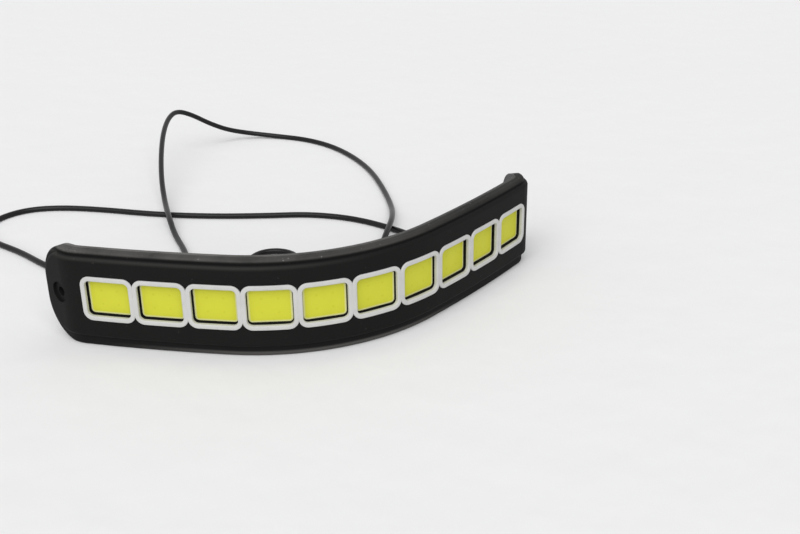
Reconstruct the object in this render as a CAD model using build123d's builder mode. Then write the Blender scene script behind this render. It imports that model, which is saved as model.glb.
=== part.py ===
from build123d import *
import os
from math import degrees, radians, tan

# Flexible daytime running light: a bent rubber strip with a row of light cells behind a white
# window frame, a glued back cover and a two-wire supply cord. It stands on its lower edge.
# The origin is the middle of that edge, X runs along the strip there, the lit side faces -Y.
# Depths are measured backwards from the strip's front face, reaches along it from its middle.

# Strip
strip_height = 38.0
corner_radius = 15.0
end_cut = 9.5
panel_thickness = 1.6
flange_thickness = 3.4
cover_thickness = 1.8
panel_inset = 3.0
panel_round = 1.5
edge_round = 1.2
cover_round = 0.6
seam_round = 0.3

# Bends in plan, from the middle outwards
bow_radius = 85.0
run_radius = 550.0
left_bow = 46.0
right_bow = 38.0
left_gap = 2.0
left_curl_radius = 14.5
left_curl = 7.5
left_tab = 13.7
right_gap = 0.5
right_curl_radius = 9.7
right_curl = 7.5
right_tab_spare = 0.2

# Light cells
cell_count = 10
cell_pitch = 20.0
window_rise = 1.2
window_width = 16.8
window_tall = 13.9
window_corner = 1.9

# White window frame
frame_tall = 17.5
frame_corner = 3.7
frame_lap = 0.3
frame_proud = 0.5
frame_sunk = 1.1

# Light-emitting boards
board_seat = 2.5
board_ledge = 0.6
board_thickness = 0.8
board_corner = 0.8
board_clearance = 0.2
phosphor_margin = 0.2
phosphor_thickness = 0.5
phosphor_corner = 1.7

# Flexible circuit in its channel
channel_margin = 0.5
circuit_thickness = 0.3
circuit_clearance = 0.05
circuit_margin = 1.0
resistor_length = 3.2
resistor_width = 1.6
resistor_thickness = 0.55
diode_length = 4.3
diode_width = 2.6
diode_thickness = 0.95
diode_offset = 14.0
part_clearance = 0.1

# Fastening and supply
screw_inset = 12.0
screw_bore = 3.6
screw_recess = 8.0
screw_recess_depth = 1.0
cover_bore = 4.2
wire_spacing = 14.0
wire_hole = 4.0
lead_diameter = 1.1
lead_pitch = 1.3
lead_reach = 7.0
sheath_diameter = 2.6
exit_run = 15.0
crossing_gap = 0.5
tail_straight = 8.0
tail_length = 27.0
tail_spread = 5.0
tip_diameter = 0.8
tip_length = 6.0

# Derived depths
seam_depth = panel_thickness + flange_thickness
back_depth = seam_depth + cover_thickness
edge_depth = panel_thickness + flange_thickness / 2
board_back = board_seat + board_thickness
circuit_front = board_back + circuit_clearance
circuit_back = circuit_front + circuit_thickness
channel_floor = board_back - circuit_clearance

# Derived reaches
half_chain = cell_count * cell_pitch / 2
right_tab = corner_radius + right_tab_spare
bends = {
    -1: [
        (left_bow, bow_radius),
        (half_chain - left_bow, run_radius),
        (left_gap, None),
        (left_curl, left_curl_radius),
        (left_tab, None),
    ],
    1: [
        (right_bow, bow_radius),
        (half_chain - right_bow, run_radius),
        (right_gap, None),
        (right_curl, right_curl_radius),
        (right_tab, None),
    ],
}
strip_reach = {side: sum(length for length, _ in bends[side]) for side in bends}
screw_reaches = [side * (strip_reach[side] - screw_inset) for side in bends]
wire_reach = strip_reach[1] - screw_inset - wire_spacing
cell_reaches = [(i - (cell_count - 1) / 2) * cell_pitch for i in range(cell_count)]

# Derived sizes
window_centre = strip_height / 2 + window_rise
panel_tall = strip_height - 2 * panel_inset
board_width = window_width + 2 * board_ledge
board_tall = window_tall + 2 * board_ledge
pocket_width = board_width + 2 * board_clearance
pocket_tall = board_tall + 2 * board_clearance
channel_tall = pocket_tall + 2 * channel_margin
circuit_tall = channel_tall - 2 * circuit_margin
sheath_radius = sheath_diameter / 2
floor = sheath_radius
over = floor + sheath_diameter + crossing_gap

# The cord from where it turns down behind the strip to its free end: a run along the floor,
# a turn at the left, a long loop that crosses the first run twice and stands up at its far end,
# and a short way back behind the strip
cord_points = [
    (66, 70, 10.5), (60, 82, 3), (53, 97, floor), (42, 114, floor), (28, 126, floor),
    (9, 133, floor), (-14, 143, floor), (-38, 157, floor), (-62, 176, floor), (-80, 187, floor),
    (-95, 190, floor), (-108, 184, floor), (-116, 171, floor), (-112, 155, floor),
    (-102, 138, floor), (-94, 118, floor), (-83, 99, floor), (-68, 85, floor), (-51, 80, floor),
    (-38, 91, floor), (-34, 110, floor), (-34, 127, floor), (-33, 142, over), (-31, 162, over),
    (-28, 181, 9), (-24, 203, 15), (-18, 223, 20), (-11, 238, 23), (-4, 246, 24), (4, 249, 20),
    (13, 252, 13), (24, 254, 7), (38, 254, 3), (51, 248, floor), (64, 235, floor),
    (73, 217, floor), (77, 194, floor), (77, 170, floor), (73, 145, floor), (67, 119, floor),
    (59, 99, over), (51, 86, over), (43, 75, floor), (35, 65, floor), (26, 60, floor),
    (16, 61, floor), (9, 68, floor), (6, 78, floor), (6, 86, floor), (0, 92, floor),
    (-8, 92, floor), (-14, 86, floor), (-14, 78, floor), (-19, 68, floor), (-28, 63, floor),
    (-38, 60, floor), (-47, 59, floor),
]

os.makedirs("parts", exist_ok=True)


def half(side, depth, reach):
    """Draw the strip's plan line at a depth, from the middle out to a reach on one side."""
    point = Vector(0, depth - edge_depth)
    along = Vector(side, 0)
    for length, radius in bends[side]:
        piece = min(length, reach)
        if piece <= 0:
            break
        if radius:
            edge = JernArc(point, along, radius - depth, side * degrees(piece / radius))
        else:
            edge = Line(point, point + along * piece)
        point, along = edge @ 1, edge % 1
        reach -= piece
    return point


def layer(front, back, reaches):
    """Make the plan face between two depths, out to a reach on each side."""
    with BuildLine() as outline:
        for side, reach in reaches.items():
            Line(half(side, front, reach), half(side, back, reach))
    make_face(outline.edges())


def all_but(cut):
    """The reach of each side, less a cut at the strip's end."""
    return {side: reach - cut for side, reach in strip_reach.items()}


def along_chain(extra):
    """The reach of the row of cells on each side, with something extra at its ends."""
    return {side: half_chain + extra for side in bends}


spine = {}
for side in bends:
    with BuildLine() as half_line:
        half(side, 0, strip_reach[side])
    spine[side] = half_line.wire()


def station(reach):
    """The plane on the front face at a reach: x along the strip, y up, z out of the front."""
    side = 1 if reach > 0 else -1
    point = spine[side].position_at(abs(reach), position_mode=PositionMode.LENGTH)
    along = spine[side].tangent_at(abs(reach), position_mode=PositionMode.LENGTH) * side
    return Plane(point + Vector(0, 0, window_centre), x_dir=along, z_dir=along.cross(Vector(0, 0, 1)))


def corners(inset, middle, tall, radius):
    """The pieces to cut off square to both tabs, so that a layer's ends become round."""
    with BuildPart() as cut:
        for side, reach in all_but(inset).items():
            with BuildSketch(station(side * reach).offset(frame_proud)):
                with Locations((-side * radius / 2, middle - window_centre)):
                    Rectangle(radius, 2 * tall)
                with Locations((-side * 3 * radius / 2, middle - window_centre)):
                    RectangleRounded(3 * radius, tall, radius, mode=Mode.SUBTRACT)
            extrude(amount=-end_cut)
    return cut.part


def rims(solid):
    """One edge of a layer's back rim and one of its front rim, which the rounding follows round."""
    return solid.faces().sort_by(Axis.Z)[-1].edges().sort_by(SortBy.LENGTH)[-2:]


def finish(part, label):
    """Name a finished piece and write it."""
    part.label = label
    export_step(part, f"parts/{label}.step")


cells = [station(reach) for reach in cell_reaches]
panel_corners = corners(panel_inset, window_centre, panel_tall, corner_radius - panel_inset)
strip_corners = corners(0, strip_height / 2, strip_height, corner_radius)

# White frame: one moulded chain of rounded rings that follows the bend, with a notch between cells
with BuildPart() as cell_blocks:
    with BuildSketch(*cells):
        RectangleRounded(cell_pitch + frame_lap, frame_tall, frame_corner)
    extrude(amount=cell_pitch / 2, both=True)

with BuildPart() as window_frame:
    with BuildSketch(Plane.XY.offset(window_centre - frame_tall / 2)):
        layer(-frame_proud, frame_sunk, along_chain(frame_lap / 2))
    extrude(amount=frame_tall)
    add(cell_blocks.part, mode=Mode.INTERSECT)
    with BuildSketch(*cells):
        RectangleRounded(window_width, window_tall, window_corner)
    extrude(amount=cell_pitch / 2, both=True, mode=Mode.SUBTRACT)
finish(window_frame.part, "window_frame")

# Rubber housing: flange with the full outline, raised front panel, windows, seats and channel
with BuildPart() as front_panel:
    with BuildSketch(Plane.XY.offset(window_centre - panel_tall / 2)):
        layer(0, panel_thickness, all_but(panel_inset))
    extrude(amount=panel_tall)
    add(panel_corners, mode=Mode.SUBTRACT)
    fillet(rims(front_panel)[1], panel_round)

with BuildPart() as rubber_housing:
    with BuildSketch():
        layer(panel_thickness, seam_depth, strip_reach)
    extrude(amount=strip_height)
    add(strip_corners, mode=Mode.SUBTRACT)
    fillet(rims(rubber_housing)[1], edge_round)
    fillet(rims(rubber_housing)[0], seam_round)
    add(front_panel.part)
    add(window_frame.part, mode=Mode.SUBTRACT)
    with BuildSketch(*cells):
        RectangleRounded(window_width, window_tall, window_corner)
    extrude(amount=-channel_floor, mode=Mode.SUBTRACT)
    with BuildSketch(*[cell.offset(-board_seat) for cell in cells]):
        RectangleRounded(pocket_width, pocket_tall, board_corner)
    extrude(amount=board_seat - seam_depth, mode=Mode.SUBTRACT)
    with BuildSketch(Plane.XY.offset(window_centre - channel_tall / 2)):
        layer(channel_floor, seam_depth, along_chain(0))
    extrude(amount=channel_tall, mode=Mode.SUBTRACT)
    with Locations(*[station(reach) for reach in screw_reaches]):
        CounterBoreHole(screw_bore / 2, screw_recess / 2, screw_recess_depth, back_depth)
finish(rubber_housing.part, "rubber_housing")

# Back cover: the same outline, glued on behind, with the screw holes and the wire hole
with BuildPart() as back_cover:
    with BuildSketch():
        layer(seam_depth, back_depth, strip_reach)
    extrude(amount=strip_height)
    add(strip_corners, mode=Mode.SUBTRACT)
    fillet(rims(back_cover)[0], cover_round)
    fillet(rims(back_cover)[1], seam_round)
    with Locations(*[station(reach) for reach in screw_reaches]):
        Hole(cover_bore / 2, back_depth + cover_thickness)
    with Locations(station(wire_reach)):
        Hole(wire_hole / 2, back_depth + cover_thickness)
finish(back_cover.part, "back_cover")

# Light-emitting boards, each seated behind its window, with its yellow phosphor pad
for number, cell in enumerate(cells, start=1):
    seat = cell.offset(-board_seat)
    with BuildPart() as led_board:
        with BuildSketch(seat):
            RectangleRounded(board_width, board_tall, board_corner)
        extrude(amount=-board_thickness)
    finish(led_board.part, f"led_board_{number:02d}")
    with BuildPart() as phosphor:
        with BuildSketch(seat):
            RectangleRounded(
                window_width - 2 * phosphor_margin, window_tall - 2 * phosphor_margin, phosphor_corner
            )
        extrude(amount=phosphor_thickness)
    finish(phosphor.part, f"phosphor_{number:02d}")

# Flexible circuit behind the boards, with a resistor for each pair of cells and one diode
with BuildPart() as flexible_circuit:
    with BuildSketch(Plane.XY.offset(window_centre - circuit_tall / 2)):
        layer(circuit_front, circuit_back, along_chain(-channel_margin))
    extrude(amount=circuit_tall)
finish(flexible_circuit.part, "flexible_circuit")

pair_reaches = [(a + b) / 2 for a, b in zip(cell_reaches[0::2], cell_reaches[1::2])]
for number, reach in enumerate(pair_reaches, start=1):
    with BuildPart() as series_resistor:
        with BuildSketch(station(reach).offset(-circuit_back - part_clearance)):
            Rectangle(resistor_length, resistor_width)
        extrude(amount=-resistor_thickness)
    finish(series_resistor.part, f"series_resistor_{number:02d}")

with BuildPart() as polarity_diode:
    with BuildSketch(station(half_chain - diode_offset).offset(-circuit_back - part_clearance)):
        Rectangle(diode_length, diode_width)
    extrude(amount=-diode_thickness)
finish(polarity_diode.part, "polarity_diode")

# Supply leads from the circuit out through the back cover to the cord's sheath
lead_start = circuit_back + part_clearance
lead_end = back_depth + lead_reach
wire_plane = station(wire_reach)
for label, side in (("red_lead", 1), ("black_lead", -1)):
    with BuildPart() as lead:
        with BuildSketch(wire_plane.offset(-lead_start)):
            with Locations((0, side * lead_pitch / 2)):
                Circle(lead_diameter / 2)
        extrude(amount=lead_start - lead_end)
    finish(lead.part, label)

# Cord sheath: straight runs with tangent bends, each bend as wide as its shorter run allows
exit_points = [wire_plane.offset(-depth).origin for depth in (lead_end, lead_end + exit_run)]
route = exit_points + [Vector(*point) for point in cord_points]
runs = [b - a for a, b in zip(route, route[1:])]
bend_radii = [
    0.45 * min(a.length, b.length) / tan(radians(a.get_angle(b)) / 2) for a, b in zip(runs, runs[1:])
]
with BuildPart() as cable_sheath:
    with BuildLine() as cord_line:
        FilletPolyline(*route, radius=bend_radii)
    with BuildSketch(Plane(cord_line.wire() @ 0, z_dir=cord_line.wire() % 0)):
        Circle(sheath_radius)
    sweep()
finish(cable_sheath.part, "cable_sheath")
cord_length = cord_line.wire().length
print(f"cord {cord_length:.0f} mm, tightest bend {min(bend_radii):.1f} mm")

# Free end: the two leads leave the sheath, spread on the floor and end in tinned tips
cord_end = Plane(
    cord_line.wire() @ 1,
    x_dir=(cord_line.wire() % 1).cross(Vector(0, 0, 1)),
    z_dir=cord_line.wire() % 1,
)
drop = sheath_radius - lead_diameter / 2
for colour, side in (("red", 1), ("black", -1)):
    tail_points = [
        cord_end.from_local_coords(Vector(side * lead_pitch / 2, 0, 0)),
        cord_end.from_local_coords(Vector(side * lead_pitch / 2, 0, tail_straight)),
        cord_end.from_local_coords(Vector(side * tail_spread, drop, tail_length)),
    ]
    with BuildPart() as tail:
        with BuildLine() as tail_line:
            FilletPolyline(*tail_points, radius=tail_straight)
        with BuildSketch(Plane(tail_line.wire() @ 0, z_dir=tail_line.wire() % 0)):
            Circle(lead_diameter / 2)
        sweep()
    finish(tail.part, f"{colour}_tail")
    with BuildPart() as tip:
        with BuildSketch(Plane(tail_line.wire() @ 1, z_dir=tail_line.wire() % 1)):
            Circle(tip_diameter / 2)
        extrude(amount=tip_length)
    finish(tip.part, f"{colour}_tinned_tip")
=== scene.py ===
from math import cos, radians, sin

import bpy
from bpy.props import FloatProperty, FloatVectorProperty, IntProperty, PointerProperty
from mathutils import Euler, Matrix, Vector


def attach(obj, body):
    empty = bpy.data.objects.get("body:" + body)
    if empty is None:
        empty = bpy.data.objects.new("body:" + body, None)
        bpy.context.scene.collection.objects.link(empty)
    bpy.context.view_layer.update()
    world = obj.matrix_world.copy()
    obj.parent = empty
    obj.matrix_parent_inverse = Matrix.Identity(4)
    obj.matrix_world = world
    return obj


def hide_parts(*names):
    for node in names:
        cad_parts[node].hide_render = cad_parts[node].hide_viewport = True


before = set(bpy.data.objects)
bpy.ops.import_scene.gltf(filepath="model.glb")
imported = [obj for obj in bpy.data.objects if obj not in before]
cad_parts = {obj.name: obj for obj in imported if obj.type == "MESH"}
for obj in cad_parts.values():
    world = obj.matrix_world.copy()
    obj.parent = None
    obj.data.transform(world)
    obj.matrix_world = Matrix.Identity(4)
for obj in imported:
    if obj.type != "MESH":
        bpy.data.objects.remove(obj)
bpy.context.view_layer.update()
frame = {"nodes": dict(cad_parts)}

bl_info = {
    "name": "Daytime running light",
    "version": (1, 0, 0),
    "blender": (4, 5, 0),
    "location": "3D View > Sidebar > Running light",
    "description": "Dresses a bent rubber strip of light cells with its frame, pads, finishes and cord",
    "category": "Object",
}

# The strip stands on its lower edge. X runs along it at its middle, the lit side faces -Y and Z is up.
# A reach is a distance along the front face from the middle, a depth goes backwards from that face.
# Lengths are in metres.
BODY = "root"
NODES = frame["nodes"]
UP = Vector((0, 0, 1))

# The plan line that the frame and the pads follow: its run past the row of cells at each end, and its step.
LINE_SPARE = 0.002
LINE_STEP = 0.0005

# Points on a corner of a ring and on a corner of its bars, and points across and up a pad.
RING_CORNER_POINTS = 12
BAR_CORNER_POINTS = 5
PAD_POINTS = (61, 47)

# Points of a pad that are closer than the gap become one. The least length keeps a division from zero.
MERGE_GAP = 1e-6
LEAST_LENGTH = 1e-7

# Attribute with a point's place on its pad: across, up, and in from the border.
PAD_PLACE = "pad_place"

# The four dice under a pad: their centres from its middle, and the soft edge of each.
DIE_ASIDE = 0.0030
DIE_ABOVE = 0.0027
DIE_EDGE = (0.0002, 0.0007)

# Where a pad's pale rim ends, in from the border, and its depth's share of the red, green and blue.
RIM_ENDS = (0.0004, 0.0012)
DEPTH_SHARES = (0.86, 0.83, 0.62)

# Sizes of what varies in the finishes.
RUBBER_CLOUD = 0.014
RUBBER_GRAIN = 0.0007
DUST_SPECK = 0.0012
FRAME_CLOUD = 0.006
FRAME_GRIME = 0.0022
FRAME_SKIN = 0.0005
PAD_CLOUD = 0.005
PAD_SKIN = 0.0012
PAD_FLECK = 0.0009

# Where marks on the rubber start and end, each a soft step between two heights: the top with its dust and
# painted sheen, the painted highlight on the upper shoulder, and the painted reflection on the lower rim.
TOP_STARTS = (0.0367, 0.0376)
SHOULDER_STARTS = (0.0342, 0.0355)
SHOULDER_ENDS = (0.0356, 0.0362)
LOWER_RIM_ENDS = (0.0014, 0.0024)

# The same between two places along X: where the top's dust and painted sheen fade, where the lower rim's
# painted reflection starts and ends, where the rubbed spot with its painted highlight ends, and where the
# shoulder's painted highlight ends.
TOP_SHEEN_FADES = (-0.03, 0.06)
RIM_REFLECTION_STARTS = (-0.09, -0.03)
RIM_REFLECTION_ENDS = (0.02, 0.06)
RUB_AND_HIGHLIGHT_ENDS = (-0.092, -0.080)
SHOULDER_HIGHLIGHT_ENDS = (-0.045, 0.02)

# Shares of the dust and sheen: the dust that lies on upright faces, and what the top's dust and painted
# sheen lose towards the right, where the face turns from the light.
UPRIGHT_DUST = 0.02
TOP_SHEEN_LOSS = 0.7

# Strength of other marks, where 1 is the full colour of the dust and painted highlights: the rubbed spot
# with its painted highlight, and dust specks anywhere and more on top; then the most that all reach
# together.
RUB_AND_HIGHLIGHT = 0.22
SPECKS = 0.08
MORE_SPECKS_ON_TOP = 0.5
MOST_MARKED = 0.7

# Points of the sheath for each point of the cord's route, and its roundness.
CORD_STEPS = 8
CORD_ROUNDNESS = 6

# The cord's way from the back of the strip: down to the floor, out to the left, back behind the strip,
# a long loop over the first run that stands up at its far end, and a last bend behind the strip.
# These points come after its exit run. Its middle is at the first height where it lies on the floor,
# and at the second where it passes over itself.
FLOOR = 0.0013
OVER = 0.0044
CORD_ROUTE = [
    (0.0665, 0.065, 0.0085), (0.062, 0.076, 0.002), (0.0565, 0.093, FLOOR), (0.045, 0.112, FLOOR),
    (0.028, 0.126, FLOOR), (0.009, 0.133, FLOOR), (-0.014, 0.143, FLOOR), (-0.038, 0.157, FLOOR),
    (-0.062, 0.176, FLOOR), (-0.080, 0.187, FLOOR), (-0.095, 0.190, FLOOR), (-0.108, 0.184, FLOOR),
    (-0.116, 0.171, FLOOR), (-0.112, 0.155, FLOOR), (-0.102, 0.138, FLOOR), (-0.094, 0.118, FLOOR),
    (-0.083, 0.099, FLOOR), (-0.068, 0.085, FLOOR), (-0.051, 0.080, FLOOR), (-0.038, 0.091, FLOOR),
    (-0.036, 0.111, FLOOR), (-0.036, 0.128, FLOOR), (-0.035, 0.143, OVER), (-0.0325, 0.163, OVER),
    (-0.0295, 0.182, 0.009), (-0.0245, 0.203, 0.015), (-0.0185, 0.223, 0.020), (-0.012, 0.2385, 0.023),
    (-0.0055, 0.2465, 0.024), (0.003, 0.2495, 0.020), (0.013, 0.252, 0.013), (0.024, 0.254, 0.007),
    (0.038, 0.254, 0.003), (0.051, 0.248, FLOOR), (0.064, 0.235, FLOOR), (0.073, 0.217, FLOOR),
    (0.077, 0.194, FLOOR), (0.077, 0.170, FLOOR), (0.073, 0.145, FLOOR), (0.067, 0.119, FLOOR),
    (0.059, 0.099, OVER), (0.051, 0.086, OVER), (0.043, 0.075, FLOOR), (0.035, 0.065, FLOOR),
    (0.026, 0.060, FLOOR), (0.016, 0.061, FLOOR), (0.009, 0.068, FLOOR), (0.006, 0.078, FLOOR),
    (0.006, 0.086, FLOOR), (0.000, 0.092, FLOOR), (-0.008, 0.092, FLOOR), (-0.014, 0.086, FLOOR),
    (-0.014, 0.078, FLOOR), (-0.019, 0.068, FLOOR), (-0.028, 0.063, FLOOR), (-0.038, 0.060, FLOOR),
    (-0.047, 0.059, FLOOR),
]


def length_of(name, description, default):
    """A property for one length, in metres."""
    return FloatProperty(name=name, description=description, default=default, unit="LENGTH", precision=5)


def angle_of(name, description, degrees):
    """A property for one angle, given in degrees."""
    return FloatProperty(name=name, description=description, default=radians(degrees), subtype="ANGLE")


def colour_of(name, description, default):
    """A property for one colour."""
    return FloatVectorProperty(
        name=name, description=description, default=default, subtype="COLOR", size=3, min=0.0, max=1.0
    )


class StripSizes(bpy.types.PropertyGroup):
    """The bend of the strip's front face, seen from above."""

    bow_radius: length_of("Bow radius", "Radius of the bow in the middle", 0.085)
    run_radius: length_of("Run radius", "Radius of the flatter runs beside the bow", 0.55)
    left_bow: length_of("Left bow", "Length of the bow left of the middle", 0.046)
    right_bow: length_of("Right bow", "Length of the bow right of the middle", 0.038)
    front_offset: length_of("Front offset", "From the standing edge forward to the front face", 0.0033)
    cell_height: length_of("Cell height", "Height of the cells' centres above the floor", 0.0202)


class CellSizes(bpy.types.PropertyGroup):
    """The row of light cells: the white frame's rings and the pads behind its windows."""

    count: IntProperty(name="Cells", description="Number of light cells", default=10, min=1)
    pitch: length_of("Pitch", "From one cell to the next along the strip", 0.020)
    ring_width: length_of("Ring width", "Width of a ring along the middle of its bars", 0.01852)
    ring_height: length_of("Ring height", "Height of a ring along the middle of its bars", 0.01572)
    ring_corner: length_of("Ring corner", "Corner radius along the middle of the bars", 0.0028)
    bar_width: length_of("Bar width", "Width of a ring's bars", 0.00178)
    bar_depth: length_of("Bar depth", "Depth of a ring's bars", 0.0016)
    bar_round: length_of("Bar rounding", "Rounding of the bars' edges", 0.00036)
    bar_offset: length_of("Bar offset", "From the front face out to the middle of the bars", -0.0003)
    pad_width: length_of("Pad width", "Width of a phosphor pad", 0.0164)
    pad_height: length_of("Pad height", "Height of a phosphor pad", 0.0135)
    pad_corner: length_of("Pad corner", "Corner radius of a phosphor pad", 0.0017)
    pad_thickness: length_of("Pad thickness", "Thickness of a pad at its edge", 0.00045)
    pad_crown: length_of("Pad crown", "How much thicker a pad is in its middle", 0.00012)
    pad_edge: length_of("Pad edge", "Width of a pad's rounded edge", 0.00025)
    seat_depth: length_of("Seat depth", "Depth of the boards' faces, which carry the pads", 0.0025)


class CordSizes(bpy.types.PropertyGroup):
    """The supply cord and where it leaves the back of the strip."""

    diameter: length_of("Diameter", "Outer diameter of the sheath", 0.0026)
    length: length_of("Length", "Length of the sheath from end to end", 0.950)
    exit_reach: length_of("Exit reach", "Where the wires leave, along the strip", 0.0972)
    cover_depth: length_of("Cover depth", "Depth of the back cover's outer face", 0.0068)
    sheath_depth: length_of("Sheath depth", "Depth at which the sheath starts", 0.0138)
    exit_run: length_of("Exit run", "Straight run of the sheath behind the strip", 0.015)


class Finishes(bpy.types.PropertyGroup):
    """Colours of the pieces."""

    rubber: colour_of("Rubber", "Moulded rubber of the housing", (0.0075, 0.0073, 0.0072))
    cover: colour_of("Cover", "Smoother rubber of the back cover", (0.007, 0.007, 0.0071))
    # This colour is the dust's, and it also paints the sheen on top, the highlights on the shoulder and the
    # left end, and the reflection on the lower rim.
    dust_and_highlight: colour_of("Dust", "Fine dust on the rubber and the sheath", (0.20, 0.195, 0.185))
    frame: colour_of("Frame", "White window frame", (0.535, 0.535, 0.525))
    board: colour_of("Board", "Dark mask of the light boards", (0.020, 0.020, 0.021))
    phosphor: colour_of("Phosphor", "Yellow silicone of the pads", (0.59, 0.598, 0.043))
    pad_rim: colour_of("Pad rim", "Thin edge of the pads", (0.74, 0.74, 0.48))
    film: colour_of("Film", "Flexible circuit", (0.30, 0.15, 0.05))
    mould: colour_of("Mould", "Black moulded resistors and diode", (0.03, 0.03, 0.03))
    red: colour_of("Red", "Insulation of the red wire", (0.45, 0.02, 0.018))
    black: colour_of("Black", "Insulation of the black wire", (0.018, 0.018, 0.019))
    sheath: colour_of("Sheath", "Sheath of the cord", (0.006, 0.006, 0.0063))
    tin: colour_of("Tin", "Tinned strands", (0.72, 0.71, 0.69))
    floor: colour_of("Floor", "Floor under the lamp", (0.89, 0.89, 0.895))


class StageSizes(bpy.types.PropertyGroup):
    """Camera, floor and light."""

    camera: FloatVectorProperty(
        name="Camera", description="Where the camera stands", subtype="XYZ", unit="LENGTH",
        default=(-0.1248, -0.3395, 0.1954),
    )
    turn: angle_of("Turn", "Camera's turn from +Y, to the left", -23.1)
    tilt: angle_of("Tilt", "How far the camera looks down", 24.48)
    roll: angle_of("Roll", "Camera's roll about its view", -0.88)
    lens: FloatProperty(name="Lens", description="Focal length in millimetres", default=50.0)
    floor_side: length_of("Floor side", "Side of the square floor", 8.0)
    ambient: FloatProperty(name="Ambient", description="Strength of the light from all round", default=0.46)
    backdrop: FloatProperty(name="Backdrop", description="Brightness of the background", default=0.86)
    key_strength: FloatProperty(name="Key light", description="Strength of the light in front", default=2.3)
    key_spread: angle_of("Key spread", "How wide the key light looks, which softens shadows", 70.0)
    key_from: FloatVectorProperty(
        name="Key side", description="Direction that the key light comes from", subtype="DIRECTION",
        default=(-0.35, -0.62, 0.70),
    )


class RunningLight(bpy.types.PropertyGroup):
    """All the values of the lamp."""

    strip: PointerProperty(type=StripSizes, name="Strip", description="Bend of the strip")
    cells: PointerProperty(type=CellSizes, name="Cells", description="Frame and pads")
    cord: PointerProperty(type=CordSizes, name="Cord", description="Supply cord")
    finish: PointerProperty(type=Finishes, name="Finishes", description="Colours")
    stage: PointerProperty(type=StageSizes, name="Stage", description="Camera, floor and light")


class Wire:
    """One output socket of a node tree. Arithmetic on wires adds Math nodes."""

    def __init__(self, tree, socket=None):
        self.tree = tree
        self.socket = socket

    def node(self, kind, settings=None, inputs=None, output=0):
        """Add a node: its settings first, then the values or links of its sockets."""
        made = self.tree.nodes.new(kind)
        for name, setting in (settings or {}).items():
            setattr(made, name, setting)
        for name, value in (inputs or {}).items():
            for one in value if isinstance(value, list) else [value]:
                if isinstance(one, Wire):
                    self.tree.links.new(one.socket, made.inputs[name])
                else:
                    made.inputs[name].default_value = one
        return Wire(self.tree, made.outputs[output] if made.outputs else None)

    def other(self, output):
        """Another output of the same node."""
        return Wire(self.tree, self.socket.node.outputs[output])

    def given(self, label):
        """One of the tree's own inputs."""
        return self.node("NodeGroupInput", output=label)

    def math(self, operation, *values):
        """A Math node on this wire and other values."""
        return self.node("ShaderNodeMath", {"operation": operation}, dict(enumerate((self, *values))))

    def distance(self, other):
        """The straight distance to a point this far along and another wire's value across."""
        return (self * self + other * other).math("SQRT")

    def step(self, low, high):
        """A soft step from 0 at the low value to 1 at the high one."""
        ends = {"Value": self, "From Min": low, "From Max": high}
        return self.node("ShaderNodeMapRange", {"interpolation_type": "SMOOTHSTEP"}, ends)

    def band(self, starts, ends):
        """1 between a soft step up and a soft step down, and 0 outside them."""
        return self.step(*starts) * (1 - self.step(*ends))

    def tint(self, low, high):
        """A colour between two others, by this wire."""
        return self.node("ShaderNodeMix", {"data_type": "RGBA"}, {0: self, 6: low, 7: high}, output=2)

    def part(self, axis):
        """One coordinate of a vector."""
        return self.node("ShaderNodeSeparateXYZ", inputs={0: self}, output=axis)

    def joined(self, **parts):
        """A vector of coordinates."""
        return self.node("ShaderNodeCombineXYZ", inputs=parts)

    def vector(self, operation, value):
        """A Vector Math node on this wire and another vector."""
        return self.node("ShaderNodeVectorMath", {"operation": operation}, {0: self, 1: value})

    def scaled(self, factor):
        """This vector, times a number."""
        return self.node("ShaderNodeVectorMath", {"operation": "SCALE"}, {0: self, "Scale": factor})

    def moved(self, place):
        """This geometry, with its points at another place."""
        return self.node("GeometryNodeSetPosition", inputs={"Geometry": self, "Position": place})

    def __add__(self, value):
        return self.math("ADD", value)

    __radd__ = __add__

    def __mul__(self, value):
        return self.math("MULTIPLY", value)

    __rmul__ = __mul__

    def __sub__(self, value):
        return self.math("SUBTRACT", value)

    def __rsub__(self, value):
        return self.node("ShaderNodeMath", {"operation": "SUBTRACT"}, {0: value, 1: self})

    def __truediv__(self, value):
        return self.math("DIVIDE", value)


def opaque(colour):
    """A colour with full alpha."""
    return (*colour, 1.0)


def finish_of(name, sockets_of):
    """A material with one Principled shader, whose sockets a function of the tree's first wire gives."""
    material = bpy.data.materials.new(name)
    material.use_nodes = True
    material.node_tree.nodes.clear()
    start = Wire(material.node_tree)
    shader = start.node("ShaderNodeBsdfPrincipled", inputs=sockets_of(start))
    start.node("ShaderNodeOutputMaterial", inputs={"Surface": shader})
    return material


def noise(place, size, detail=2.0, share=0.5):
    """Noise with features of about a size in metres."""
    inputs = {"Vector": place, "Scale": 1.0 / size, "Detail": detail, "Roughness": share}
    return place.node("ShaderNodeTexNoise", inputs=inputs)


def bump(height, distance, strength):
    """A normal that follows a height, in shares of a distance in metres."""
    inputs = {"Strength": strength, "Distance": distance, "Height": height}
    return height.node("ShaderNodeBump", inputs=inputs)


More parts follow.
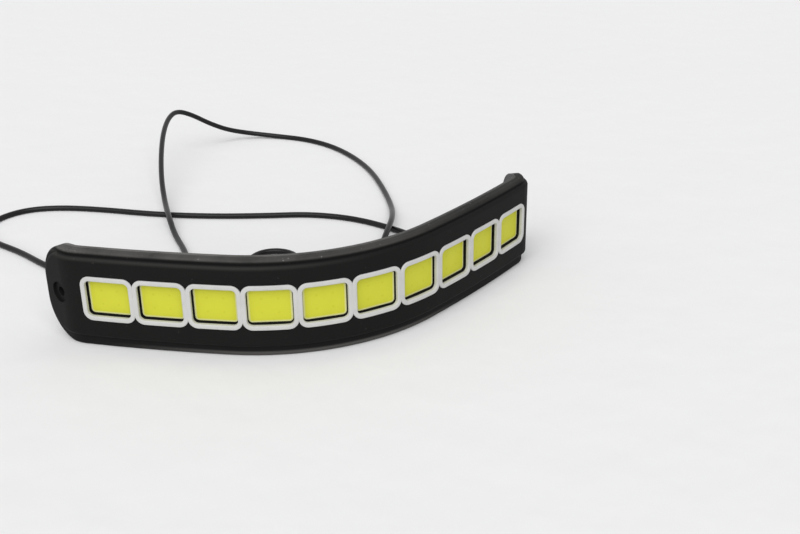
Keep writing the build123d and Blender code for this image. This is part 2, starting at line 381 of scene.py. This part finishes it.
def rubber_finish(name, colour, dust_and_highlight, roughness, specular, grain, dust_and_sheen, rim_reflection=0.0, shoulder_highlight=0.0):
    """Black moulded rubber: fine grain, cloudy handling marks, dust with a painted sheen on top, and a
    rubbed spot with a painted highlight.

    A painted reflection of the floor makes the lower rim paler, and a painted highlight makes a paler line
    on the upper shoulder, left of the middle.
    """

    def sockets(start):
        place = start.node("ShaderNodeTexCoord", output="Object")
        along, height = place.part("X"), place.part("Z")
        cloud = noise(place, RUBBER_CLOUD, detail=4.0, share=0.6)
        fine = noise(place, RUBBER_GRAIN, detail=3.0, share=0.6)
        specks = noise(place, DUST_SPECK, detail=1.0).step(0.74, 0.80)
        top = height.step(*TOP_STARTS)
        # Dust and painted sheen: the top is made paler as if it reflected the light, less so towards the
        # right.
        top_sheen_falloff = 1 - TOP_SHEEN_LOSS * along.step(*TOP_SHEEN_FADES)
        patchy = 0.4 + 0.6 * cloud.step(0.20, 0.70)
        settled_dust_and_sheen = dust_and_sheen * (UPRIGHT_DUST + top * top_sheen_falloff) * patchy
        # Painted reflection: the lower rim is made paler as if it reflected the floor, along the middle of
        # the strip.
        painted_rim_reflection = rim_reflection * along.band(RIM_REFLECTION_STARTS, RIM_REFLECTION_ENDS) * (1 - height.step(*LOWER_RIM_ENDS))
        # A rubbed spot with a painted highlight on the top at the left end, broken up by fine noise.
        spotty = 0.3 + 0.7 * fine.step(0.40, 0.62)
        rubbed_and_highlight = RUB_AND_HIGHLIGHT * top * (1 - along.step(*RUB_AND_HIGHLIGHT_ENDS)) * spotty
        # Painted highlight: a paler line along the upper shoulder, left of the middle.
        painted_shoulder_highlight = shoulder_highlight * height.band(SHOULDER_STARTS, SHOULDER_ENDS) * (1 - along.step(*SHOULDER_HIGHLIGHT_ENDS))
        speckled = (SPECKS + MORE_SPECKS_ON_TOP * top) * specks
        marked = (settled_dust_and_sheen + painted_rim_reflection + rubbed_and_highlight + painted_shoulder_highlight + speckled).math("MINIMUM", MOST_MARKED)
        return {
            "Base Color": marked.tint(opaque(colour), opaque(dust_and_highlight)),
            "Roughness": roughness + 0.16 * (cloud - 0.5) + 0.25 * settled_dust_and_sheen,
            "Specular IOR Level": specular,
            "Normal": bump(fine, grain, strength=0.6),
        }

    return finish_of(name, sockets)


def frame_finish(colour):
    """White moulded plastic with a fine matte skin and a little grime."""

    def sockets(start):
        place = start.node("ShaderNodeTexCoord", output="Object")
        cloud = noise(place, FRAME_CLOUD, detail=4.0, share=0.6)
        grime = noise(place, FRAME_GRIME, detail=5.0, share=0.7).step(0.56, 0.78)
        soiling = 0.35 * grime + 0.25 * cloud.step(0.35, 0.75)
        soiled = tuple(0.72 * part for part in colour)
        return {
            "Base Color": soiling.tint(opaque(colour), opaque(soiled)),
            "Roughness": 0.42 + 0.18 * cloud,
            "Specular IOR Level": 0.4,
            "Normal": bump(noise(place, FRAME_SKIN), distance=0.00003, strength=0.5),
        }

    return finish_of("frame_white", sockets)


def phosphor_finish(colour, rim_colour):
    """Yellow silicone over the chips: a pale thin edge, four faint dice and a cloudy body."""

    def sockets(start):
        place = start.node("ShaderNodeAttribute", {"attribute_name": PAD_PLACE}, output="Vector")
        aside = place.part("X").math("ABSOLUTE") - DIE_ASIDE
        above = place.part("Y").math("ABSOLUTE") - DIE_ABOVE
        die = 1 - aside.distance(above).step(*DIE_EDGE)
        rim = 1 - place.part("Z").step(*RIM_ENDS)
        body = start.node("ShaderNodeTexCoord", output="Object")
        cloud = noise(body, PAD_CLOUD, detail=4.0, share=0.6)
        fleck = noise(body, PAD_FLECK).step(0.66, 0.80)
        deep = tuple(share * part for share, part in zip(DEPTH_SHARES, colour))
        tone = (0.45 * cloud + 0.40 * die + 0.2 * fleck).tint(opaque(colour), opaque(deep))
        return {
            "Base Color": (0.7 * rim).tint(tone, opaque(rim_colour)),
            "Roughness": 0.46 + 0.14 * cloud,
            "Specular IOR Level": 0.22,
            "Normal": bump(noise(body, PAD_SKIN, detail=3.0), distance=0.00003, strength=0.5),
        }

    return finish_of("phosphor_silicone", sockets)


def plain_finish(name, colour, roughness, spread, size, specular=0.4, metallic=0.0):
    """A finish whose tone varies by a spread, and its gloss a little, at a given size."""

    def sockets(start):
        place = start.node("ShaderNodeTexCoord", output="Object")
        cloud = noise(place, size, detail=3.0, share=0.6)
        dim = tuple((1 - spread) * part for part in colour)
        return {
            "Base Color": cloud.tint(opaque(dim), opaque(colour)),
            "Roughness": roughness + 0.15 * (cloud - 0.5),
            "Metallic": metallic,
            "Specular IOR Level": specular,
            "Normal": bump(noise(place, size / 12), distance=size / 200, strength=0.4),
        }

    return finish_of(name, sockets)


def place_on_strip(strip, reach):
    """The point of the front face at a reach, at floor level, and the direction along the strip there."""
    side = 1 if reach > 0 else -1
    bow = strip.right_bow if reach > 0 else strip.left_bow
    in_bow = min(abs(reach), bow)
    across, back, turn = 0.0, -strip.front_offset, 0.0
    for radius, piece in ((strip.bow_radius, in_bow), (strip.run_radius, abs(reach) - in_bow)):
        after = turn + piece / radius
        across += radius * (sin(after) - sin(turn))
        back += radius * (cos(turn) - cos(after))
        turn = after
    return Vector((side * across, back, 0.0)), Vector((cos(turn), side * sin(turn), 0.0))


def behind_strip(strip, reach, depth):
    """The point at a reach and a depth, at the height of the cells."""
    point, along = place_on_strip(strip, reach)
    return point - depth * along.cross(UP) + strip.cell_height * UP


def line_start(cells):
    """How far left of the middle the plan line starts."""
    return cells.count * cells.pitch / 2 + LINE_SPARE


def strip_line(name, strip, cells):
    """An object with the front face's plan line, a little longer than the row of cells."""
    first = line_start(cells)
    steps = round(2 * first / LINE_STEP)
    points = [place_on_strip(strip, i * LINE_STEP - first)[0] for i in range(steps + 1)]
    mesh = bpy.data.meshes.new(name)
    mesh.from_pydata(points, [(i, i + 1) for i in range(steps)], [])
    piece = bpy.data.objects.new(name, mesh)
    bpy.context.scene.collection.objects.link(piece)
    return piece


def row_sizes(strip, cells):
    """The sizes that the trees of the frame and the pads share."""
    return {
        "Line start": line_start(cells),
        "Cells": cells.count,
        "Pitch": cells.pitch,
        "Cell height": strip.cell_height,
    }


def new_tree(name, sizes):
    """A Geometry Nodes tree with a line and named sizes as inputs; returns it and its first wire."""
    tree = bpy.data.node_groups.new(name, "GeometryNodeTree")
    tree.interface.new_socket(name="Line", in_out="INPUT", socket_type="NodeSocketGeometry")
    for label, value in sizes.items():
        kind = "NodeSocketInt" if isinstance(value, int) else "NodeSocketFloat"
        tree.interface.new_socket(name=label, in_out="INPUT", socket_type=kind)
    tree.interface.new_socket(name="Geometry", in_out="OUTPUT", socket_type="NodeSocketGeometry")
    return tree, Wire(tree)


def close_tree(shape, material):
    """End a tree: smooth shading, the material and the output."""
    smooth = shape.node("GeometryNodeSetShadeSmooth", inputs={"Geometry": shape, "Shade Smooth": True})
    dressed = shape.node("GeometryNodeSetMaterial", inputs={"Geometry": smooth, "Material": material})
    shape.node("NodeGroupOutput", inputs={"Geometry": dressed})


def grow(piece, tree, sizes):
    """Run a tree on a piece with its sizes and keep the result as the piece's plain mesh."""
    modifier = piece.modifiers.new(tree.name, "NODES")
    modifier.node_group = tree
    for item in tree.interface.items_tree:
        if item.in_out == "INPUT" and item.name in sizes:
            modifier[item.identifier] = sizes[item.name]
    bpy.context.view_layer.update()
    graph = bpy.context.evaluated_depsgraph_get()
    mesh = bpy.data.meshes.new_from_object(piece.evaluated_get(graph))
    piece.modifiers.clear()
    piece.data = mesh
    if not mesh.polygons:
        raise RuntimeError(f"{piece.name} came out empty")


def off_line(start, reach, out, height):
    """The line's point at a reach, moved out from the strip and up, and the line's direction there."""
    line = start.node("GeometryNodeMeshToCurve", inputs={"Mesh": start.given("Line")})
    sample = {"Curves": line, "Length": reach + start.given("Line start")}
    point = start.node("GeometryNodeSampleCurve", {"mode": "LENGTH"}, sample, output="Position")
    tangent = point.other("Tangent")
    aside = tangent.vector("CROSS_PRODUCT", UP).scaled(out)
    return point.vector("ADD", aside).vector("ADD", start.joined(Z=height)), tangent


def rounded_outline(start, width, height, corner, points):
    """A rectangle with round corners."""
    sides = start.node("GeometryNodeCurvePrimitiveQuadrilateral", inputs={"Width": width, "Height": height})
    rounding = {"Curve": sides, "Count": points, "Radius": corner, "Limit Radius": True}
    return start.node("GeometryNodeFilletCurve", {"mode": "POLY"}, rounding)


def frame_tree(sizes, material):
    """Rings with rounded bars, one for each cell, laid side by side and bent along the line."""
    tree, start = new_tree("Window frame along the strip", sizes)
    size = start.given
    path = rounded_outline(
        start, size("Ring width"), size("Ring height"), size("Ring corner"), RING_CORNER_POINTS
    )
    division = {"Curve": path, "Length": size("Step")}
    path = start.node("GeometryNodeResampleCurve", {"mode": "LENGTH"}, division)
    path = start.node("GeometryNodeSetCurveNormal", {"mode": "Z_UP"}, {"Curve": path})
    bar = rounded_outline(
        start, size("Bar width"), size("Bar depth"), size("Bar rounding"), BAR_CORNER_POINTS
    )
    ring = start.node("GeometryNodeCurveToMesh", inputs={"Curve": path, "Profile Curve": bar})
    first = start.joined(X=-0.5 * (size("Cells") - 1) * size("Pitch"))
    pace = start.joined(X=size("Pitch"))
    places = {"Count": size("Cells"), "Start Location": first, "Offset": pace}
    row = start.node("GeometryNodeMeshLine", inputs=places)
    rings = start.node("GeometryNodeInstanceOnPoints", inputs={"Points": row, "Instance": ring})
    chain = start.node("GeometryNodeRealizeInstances", inputs={"Geometry": rings})
    flat = start.node("GeometryNodeInputPosition")
    out = flat.part("Z") + size("Bar offset")
    bent, _ = off_line(start, flat.part("X"), out, flat.part("Y") + size("Cell height"))
    close_tree(chain.moved(bent), material)
    return tree


def pad_tree(sizes, material):
    """Crowned pads with rounded corners and edges, one square to the strip behind each window."""
    tree, start = new_tree("Phosphor pads along the strip", sizes)
    size = start.given
    wide, tall = 0.5 * size("Width"), 0.5 * size("Height")
    columns, rows = PAD_POINTS
    spacing = {"Size X": size("Width"), "Size Y": size("Height"), "Vertices X": columns, "Vertices Y": rows}
    grid = start.node("GeometryNodeMeshGrid", inputs=spacing)
    flat = start.node("GeometryNodeInputPosition")
    off, past, sign = {}, {}, {}
    for axis, half in (("X", wide), ("Y", tall)):
        here = flat.part(axis)
        off[axis] = here.math("ABSOLUTE")
        past[axis] = (off[axis] - half + size("Corner")).math("MAXIMUM", 0.0)
        sign[axis] = here.math("SIGN")
    slant = past["X"].distance(past["Y"]).math("MAXIMUM", LEAST_LENGTH)
    pull = past["X"].math("MAXIMUM", past["Y"]) / slant
    rounded = {axis: sign[axis] * (off[axis] - past[axis] + past[axis] * pull) for axis in off}
    border = (wide - off["X"]).math("MINIMUM", tall - off["Y"])
    slope = 1 - (border / size("Edge")).math("MINIMUM", 1.0)
    rise = (1 - slope * slope).math("SQRT")
    aside, above = off["X"] / wide, off["Y"] / tall
    crown = size("Crown") * (1 - aside * aside) * (1 - above * above)
    swell = 0 - size("Thickness") * rise - crown
    place = start.joined(X=rounded["X"], Y=rounded["Y"], Z=border)
    kind = {"data_type": "FLOAT_VECTOR", "domain": "POINT"}
    naming = {"Geometry": grid, "Name": PAD_PLACE, "Value": place}
    marked = start.node("GeometryNodeStoreNamedAttribute", kind, naming)
    front = marked.moved(start.joined(X=rounded["X"], Y=swell, Z=rounded["Y"]))
    back = marked.moved(start.joined(X=rounded["X"], Y=0.0, Z=rounded["Y"]))
    back = start.node("GeometryNodeFlipFaces", inputs={"Mesh": back})
    pad = start.node("GeometryNodeJoinGeometry", inputs={"Geometry": [front, back]})
    pad = start.node("GeometryNodeMergeByDistance", inputs={"Geometry": pad, "Distance": MERGE_GAP})
    row = start.node("GeometryNodeMeshLine", inputs={"Count": size("Cells")})
    number = start.node("GeometryNodeInputIndex")
    reach = (number - 0.5 * (size("Cells") - 1)) * size("Pitch")
    seat, along = off_line(start, reach, 0 - size("Seat depth"), size("Cell height"))
    axes = {"axis": "X", "pivot_axis": "Z"}
    facing = start.node("FunctionNodeAlignRotationToVector", axes, {"Vector": along})
    seating = {"Points": row.moved(seat), "Instance": pad, "Rotation": facing}
    pads = start.node("GeometryNodeInstanceOnPoints", inputs=seating)
    close_tree(start.node("GeometryNodeRealizeInstances", inputs={"Geometry": pads}), material)
    return tree


def paint(material, *names):
    """Give CAD nodes a material in place of the plain one."""
    for name in names:
        for holder in NODES[name].material_slots:
            holder.material = material


def family(prefix):
    """The names of the CAD nodes that start with a prefix."""
    return sorted(name for name in NODES if name.startswith(prefix))


class RUNNING_LIGHT_OT_stage(bpy.types.Operator):
    """Set up the camera, the floor and the light"""

    bl_idname = "running_light.stage"
    bl_label = "Stage"

    def execute(self, context):
        values = context.scene.running_light
        stage = values.stage
        scene = context.scene
        camera = bpy.data.cameras.new("camera")
        camera.sensor_width = 36.0
        camera.lens = stage.lens
        camera.clip_start = 0.01
        viewer = bpy.data.objects.new("camera", camera)
        turn = Euler((radians(90) - stage.tilt, 0.0, stage.turn)).to_matrix()
        spin = turn @ Matrix.Rotation(stage.roll, 3, "Z")
        viewer.matrix_world = Matrix.Translation(Vector(stage.camera)) @ spin.to_4x4()
        scene.collection.objects.link(viewer)
        scene.camera = viewer

        half = stage.floor_side / 2
        mesh = bpy.data.meshes.new("floor")
        corners = [(-half, -half, 0.0), (half, -half, 0.0), (half, half, 0.0), (-half, half, 0.0)]
        mesh.from_pydata(corners, [], [(0, 1, 2, 3)])
        floor = bpy.data.objects.new("floor", mesh)
        scene.collection.objects.link(floor)
        paper = plain_finish(
            "floor_paper", values.finish.floor, roughness=0.75, spread=0.02, size=0.25, specular=0.1
        )
        mesh.materials.append(paper)

        lamp = bpy.data.lights.new("key_light", "SUN")
        lamp.energy = stage.key_strength
        lamp.angle = stage.key_spread
        key = bpy.data.objects.new("key_light", lamp)
        key.matrix_world = Vector(stage.key_from).to_track_quat("Z", "Y").to_matrix().to_4x4()
        scene.collection.objects.link(key)
        self.surround(scene, stage)
        scene.view_settings.view_transform = "Standard"
        return {"FINISHED"}

    def surround(self, scene, stage):
        """Even light from all round, which the camera and reflections see as a pale background."""
        world = bpy.data.worlds.new("studio")
        world.use_nodes = True
        world.node_tree.nodes.clear()
        start = Wire(world.node_tree)
        camera_ray = start.node("ShaderNodeLightPath", output="Is Camera Ray")
        seen = camera_ray.math("MAXIMUM", camera_ray.other("Is Glossy Ray"))
        seen = seen.math("MAXIMUM", camera_ray.other("Is Transmission Ray"))
        strength = stage.ambient + (stage.backdrop - stage.ambient) * seen
        white = opaque((1.0, 1.0, 1.0))
        light = start.node("ShaderNodeBackground", inputs={"Color": white, "Strength": strength})
        start.node("ShaderNodeOutputWorld", inputs={"Surface": light})
        scene.world = world


class RUNNING_LIGHT_OT_supply_cord(bpy.types.Operator):
    """Lay the cord's sheath along its route and finish the wires"""

    bl_idname = "running_light.supply_cord"
    bl_label = "Supply cord"

    def execute(self, context):
        values = context.scene.running_light
        strip, cord, colours = values.strip, values.cord, values.finish
        depths = (cord.sheath_depth, cord.sheath_depth + cord.exit_run)
        route = [behind_strip(strip, cord.exit_reach, depth) for depth in depths] + CORD_ROUTE
        line = bpy.data.curves.new("cord_sheath", "CURVE")
        line.dimensions = "3D"
        spline = line.splines.new("NURBS")
        spline.points.add(len(route) - 1)
        for point, place in zip(spline.points, route):
            point.co = (*place, 1.0)
        spline.order_u = 3
        spline.use_endpoint_u = True
        spline.resolution_u = CORD_STEPS
        line.bevel_depth = cord.diameter / 2
        line.bevel_resolution = CORD_ROUNDNESS
        line.use_fill_caps = True
        sheath = bpy.data.objects.new("cord_sheath", line)
        context.scene.collection.objects.link(sheath)
        rubber = rubber_finish(
            "cord_sheath", colours.sheath, colours.dust_and_highlight,
            roughness=0.30, specular=0.22, grain=0.00002, dust_and_sheen=0.06,
        )
        line.materials.append(rubber)
        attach(sheath, BODY)
        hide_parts("cable_sheath")
        tuple(behind_strip(strip, cord.exit_reach, cord.cover_depth))
        red = plain_finish("red_insulation", colours.red, roughness=0.36, spread=0.25, size=0.004)
        black = plain_finish("black_insulation", colours.black, roughness=0.36, spread=0.3, size=0.004)
        tin = plain_finish(
            "tinned_strands", colours.tin, roughness=0.30, spread=0.2, size=0.0008, metallic=1.0
        )
        paint(red, "red_lead", "red_tail")
        paint(black, "black_lead", "black_tail")
        paint(tin, "red_tinned_tip", "black_tinned_tip")
        return {"FINISHED"}


class RUNNING_LIGHT_OT_rubber(bpy.types.Operator):
    """Finish the rubber housing and the back cover"""

    bl_idname = "running_light.rubber"
    bl_label = "Rubber housing and cover"

    def execute(self, context):
        colours = context.scene.running_light.finish
        # The housing's top gets dust with a painted sheen, its lower rim a painted reflection and its upper
        # shoulder a painted highlight.
        housing = rubber_finish(
            "housing_rubber", colours.rubber, colours.dust_and_highlight,
            roughness=0.58, specular=0.065, grain=0.00004, dust_and_sheen=0.36, rim_reflection=0.32, shoulder_highlight=0.08,
        )
        # The cover's top gets dust with a strong painted sheen, and its lower rim a painted reflection.
        cover = rubber_finish(
            "cover_rubber", colours.cover, colours.dust_and_highlight,
            roughness=0.36, specular=0.12, grain=0.00002, dust_and_sheen=0.70, rim_reflection=0.2,
        )
        paint(housing, "rubber_housing")
        paint(cover, "back_cover")
        return {"FINISHED"}


class RUNNING_LIGHT_OT_window_frame(bpy.types.Operator):
    """Make the white frame, a chain of rings along the strip"""

    bl_idname = "running_light.window_frame"
    bl_label = "Window frame"

    def execute(self, context):
        values = context.scene.running_light
        strip, cells = values.strip, values.cells
        sizes = {
            **row_sizes(strip, cells),
            "Ring width": cells.ring_width,
            "Ring height": cells.ring_height,
            "Ring corner": cells.ring_corner,
            "Bar width": cells.bar_width,
            "Bar depth": cells.bar_depth,
            "Bar rounding": cells.bar_round,
            "Bar offset": cells.bar_offset,
            "Step": LINE_STEP,
        }
        piece = strip_line("white_frame", strip, cells)
        grow(piece, frame_tree(sizes, frame_finish(values.finish.frame)), sizes)
        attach(piece, BODY)
        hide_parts("window_frame")
        return {"FINISHED"}


class RUNNING_LIGHT_OT_light_cells(bpy.types.Operator):
    """Make the phosphor pads and finish the boards under them"""

    bl_idname = "running_light.light_cells"
    bl_label = "Light cells"

    def execute(self, context):
        values = context.scene.running_light
        strip, cells, colours = values.strip, values.cells, values.finish
        sizes = {
            **row_sizes(strip, cells),
            "Width": cells.pad_width,
            "Height": cells.pad_height,
            "Corner": cells.pad_corner,
            "Thickness": cells.pad_thickness,
            "Crown": cells.pad_crown,
            "Edge": cells.pad_edge,
            "Seat depth": cells.seat_depth,
        }
        piece = strip_line("phosphor_pads", strip, cells)
        grow(piece, pad_tree(sizes, phosphor_finish(colours.phosphor, colours.pad_rim)), sizes)
        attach(piece, BODY)
        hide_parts(*family("phosphor_"))
        mask = plain_finish("board_mask", colours.board, roughness=0.35, spread=0.12, size=0.003)
        paint(mask, *family("led_board_"))
        return {"FINISHED"}


class RUNNING_LIGHT_OT_circuit(bpy.types.Operator):
    """Finish the flexible circuit, its resistors and its diode"""

    bl_idname = "running_light.circuit"
    bl_label = "Circuit"

    def execute(self, context):
        colours = context.scene.running_light.finish
        film = plain_finish("circuit_film", colours.film, roughness=0.32, spread=0.3, size=0.004)
        mould = plain_finish("black_mould", colours.mould, roughness=0.5, spread=0.3, size=0.0015)
        paint(film, "flexible_circuit")
        paint(mould, "polarity_diode", *family("series_resistor_"))
        return {"FINISHED"}


OPERATORS = (
    RUNNING_LIGHT_OT_stage,
    RUNNING_LIGHT_OT_supply_cord,
    RUNNING_LIGHT_OT_rubber,
    RUNNING_LIGHT_OT_window_frame,
    RUNNING_LIGHT_OT_light_cells,
    RUNNING_LIGHT_OT_circuit,
)


class RUNNING_LIGHT_PT_steps(bpy.types.Panel):
    """Lists the steps that dress the lamp"""

    bl_idname = "RUNNING_LIGHT_PT_steps"
    bl_label = "Running light"
    bl_space_type = "VIEW_3D"
    bl_region_type = "UI"
    bl_category = "Running light"

    def draw(self, context):
        column = self.layout.column()
        for operator in OPERATORS:
            column.operator(operator.bl_idname)


CLASSES = (
    StripSizes,
    CellSizes,
    CordSizes,
    Finishes,
    StageSizes,
    RunningLight,
    *OPERATORS,
    RUNNING_LIGHT_PT_steps,
)


def register():
    for item in CLASSES:
        bpy.utils.register_class(item)
    bpy.types.Scene.running_light = PointerProperty(type=RunningLight)


def unregister():
    del bpy.types.Scene.running_light
    for item in reversed(CLASSES):
        bpy.utils.unregister_class(item)


def main():
    register()
    bpy.ops.running_light.stage()
    bpy.ops.running_light.supply_cord()
    bpy.ops.running_light.rubber()
    bpy.ops.running_light.window_frame()
    bpy.ops.running_light.light_cells()
    bpy.ops.running_light.circuit()


if __name__ == "__main__":
    main()
